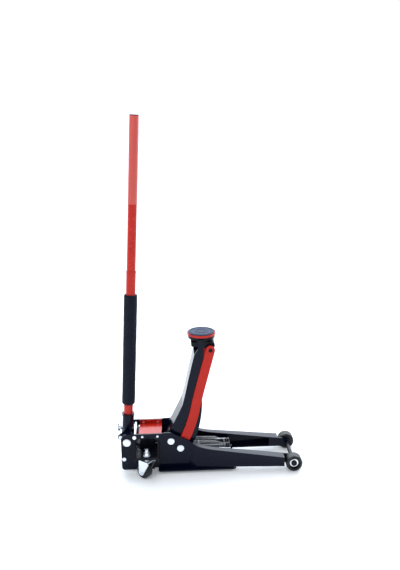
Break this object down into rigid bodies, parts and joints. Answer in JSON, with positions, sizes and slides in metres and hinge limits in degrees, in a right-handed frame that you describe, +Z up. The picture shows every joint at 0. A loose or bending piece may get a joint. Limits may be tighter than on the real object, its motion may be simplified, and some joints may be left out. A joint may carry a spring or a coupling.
{
  "type": "trolley jack",
  "caption": "Low-profile wheeled hydraulic jack with a raised parallel-link lift arm, round padded saddle, side plates, rear swivel casters and a long two-piece handle with a foam sleeve.",
  "frame": {"origin": "centre of the bounding box in plan, on the floor", "axes": "+X to the front of the jack (front wheels), +Y to its left side, +Z up"},
  "size_m": [0.6532, 0.2568, 1.2214],
  "materials": {
    "navy_paint": "gloss",
    "black_paint": "satin",
    "red_paint": "gloss",
    "zinc": "satin",
    "steel": "satin",
    "dark_steel": "satin",
    "castiron": "matte",
    "brass": "satin",
    "nylon": "satin",
    "rubber": "matte",
    "foam": "matte",
    "grip": "satin",
    "black_plastic": "satin"
  },
  "bodies": {
    "chassis": {"side_plate_right": "navy_paint", "side_plate_left": "navy_paint", "base_plate": "navy_paint", "rear_tie_bar": "zinc", "handle_stop_bar": "zinc", "front_axle": "black_paint", "axle_nuts": "black_paint", "caster_bracket_right": "navy_paint", "caster_bracket_left": "navy_paint", "caster_stud_right": "zinc", "caster_stud_left": "zinc", "arm_shaft": "zinc", "link_bolts": "zinc", "handle_pivot_pins": "zinc", "pump_block": "castiron", "reservoir": "black_paint", "pump_barrels": "steel", "cylinder_tube": "black_paint", "gland_nut": "steel", "valve_plugs": "brass", "plunger_springs": "steel", "spring_anchor": "black_paint", "power_cover": "red_paint", "cover_screws": "zinc"},
    "front_wheel_right": {"front_wheel_right": "nylon", "wheel_ring_right": "zinc"},
    "front_wheel_left": {"front_wheel_left": "nylon", "wheel_ring_left": "zinc"},
    "caster_fork_right": {"caster_fork_right": "zinc", "caster_axle_right": "zinc"},
    "caster_fork_left": {"caster_fork_left": "zinc", "caster_axle_left": "zinc"},
    "caster_wheel_right": {"caster_wheel_right": "nylon"},
    "caster_wheel_left": {"caster_wheel_left": "nylon"},
    "lift_arm": {"lift_arm": "navy_paint", "arm_bush": "black_paint", "crank_pins": "steel"},
    "side_links": {"side_link_right": "red_paint", "side_link_left": "red_paint"},
    "saddle_bracket": {"saddle_bracket": "black_paint", "saddle_cup": "black_paint", "arm_head_pin": "black_paint", "link_head_pins": "black_paint"},
    "saddle": {"saddle_plate": "red_paint", "saddle_pad": "rubber"},
    "ram": {"ram_rod": "dark_steel", "crosshead": "black_paint", "pull_links": "steel", "return_springs": "steel"},
    "handle_yoke": {"handle_yoke": "navy_paint", "cam_rollers": "steel", "yoke_rear_pin": "zinc"},
    "pump_plungers": {"pump_plungers": "steel"},
    "release_valve": {"release_valve": "steel"},
    "clamp_screw": {"clamp_screw": "zinc"},
    "handle": {"lower_tube": "red_paint", "upper_tube": "red_paint", "foam_sleeve": "foam", "grip_sleeve": "grip", "handle_cap": "black_plastic"}
  },
  "joints": [
    {"name": "lift_arm", "type": "hinge", "parent": "chassis", "child": "lift_arm", "pos_m": [-0.1343, 0, 0.1145], "axis": [0, 1, 0], "range_deg": [0, 82.5]},
    {"name": "side_links", "type": "hinge", "parent": "chassis", "child": "side_links", "pos_m": [-0.1013, 0, 0.0867], "axis": [0, 1, 0], "range_deg": [0, 83]},
    {"name": "saddle_bracket", "type": "hinge", "parent": "lift_arm", "child": "saddle_bracket", "pos_m": [-0.02466, 0, 0.47311], "axis": [0, 1, 0], "range_deg": [-83, 0]},
    {"name": "saddle_turn", "type": "hinge", "parent": "saddle_bracket", "child": "saddle", "pos_m": [-0.01966, 0, 0.48], "axis": [0, 0, 1], "continuous": true},
    {"name": "ram_slide", "type": "slide", "parent": "chassis", "child": "ram", "axis": [1, 0, 0], "range_m": [-0.07, 0], "deforming": ["return_springs"]},
    {"name": "handle_pump", "type": "hinge", "parent": "chassis", "child": "handle_yoke", "pos_m": [-0.2886, 0, 0.1155], "axis": [0, -1, 0], "range_deg": [0, 60]},
    {"name": "pump_plungers", "type": "slide", "parent": "chassis", "child": "pump_plungers", "axis": [1, 0, 0], "range_m": [0, 0.0195], "deforming": ["plunger_springs"]},
    {"name": "handle_twist", "type": "hinge", "parent": "handle_yoke", "child": "handle", "pos_m": [-0.2886, 0, 0.1155], "axis": [0.061, 0, 0.9981], "range_deg": [-90, 90]},
    {"name": "release_valve", "type": "hinge", "parent": "chassis", "child": "release_valve", "pos_m": [-0.2443, 0, 0.056], "axis": [-0.8555, 0, 0.5178], "range_deg": [-91, 91]},
    {"name": "clamp_screw_turn", "type": "hinge", "parent": "handle_yoke", "child": "clamp_screw", "pos_m": [-0.28677, 0, 0.14544], "axis": [-0.9981, 0, 0.061], "range_deg": [-180, 180]},
    {"name": "front_wheel_right", "type": "hinge", "parent": "chassis", "child": "front_wheel_right", "pos_m": [0.2972, -0.08, 0.029], "axis": [0, 1, 0], "continuous": true},
    {"name": "front_wheel_left", "type": "hinge", "parent": "chassis", "child": "front_wheel_left", "pos_m": [0.2972, 0.08, 0.029], "axis": [0, 1, 0], "continuous": true},
    {"name": "caster_swivel_right", "type": "hinge", "parent": "chassis", "child": "caster_fork_right", "pos_m": [-0.2185, -0.1, 0.065], "axis": [0, 0, 1], "continuous": true},
    {"name": "caster_swivel_left", "type": "hinge", "parent": "chassis", "child": "caster_fork_left", "pos_m": [-0.2185, 0.1, 0.065], "axis": [0, 0, 1], "continuous": true},
    {"name": "caster_roll_right", "type": "hinge", "parent": "caster_fork_right", "child": "caster_wheel_right", "pos_m": [-0.22783, -0.09245, 0.026], "axis": [-0.6293, -0.7771, 0], "continuous": true},
    {"name": "caster_roll_left", "type": "hinge", "parent": "caster_fork_left", "child": "caster_wheel_left", "pos_m": [-0.22783, 0.09245, 0.026], "axis": [0.6293, -0.7771, 0], "continuous": true}
  ],
  "couplings": [
    {"joint": "side_links", "follows": "lift_arm", "ratio": 1},
    {"joint": "saddle_bracket", "follows": "lift_arm", "ratio": -1},
    {"joint": "ram_slide", "follows": "lift_arm", "m_per_rad": -0.04762},
    {"joint": "pump_plungers", "follows": "handle_pump", "m_per_rad": 0.0182},
    {"joint": "release_valve", "follows": "handle_twist", "ratio": 1}
  ]
}
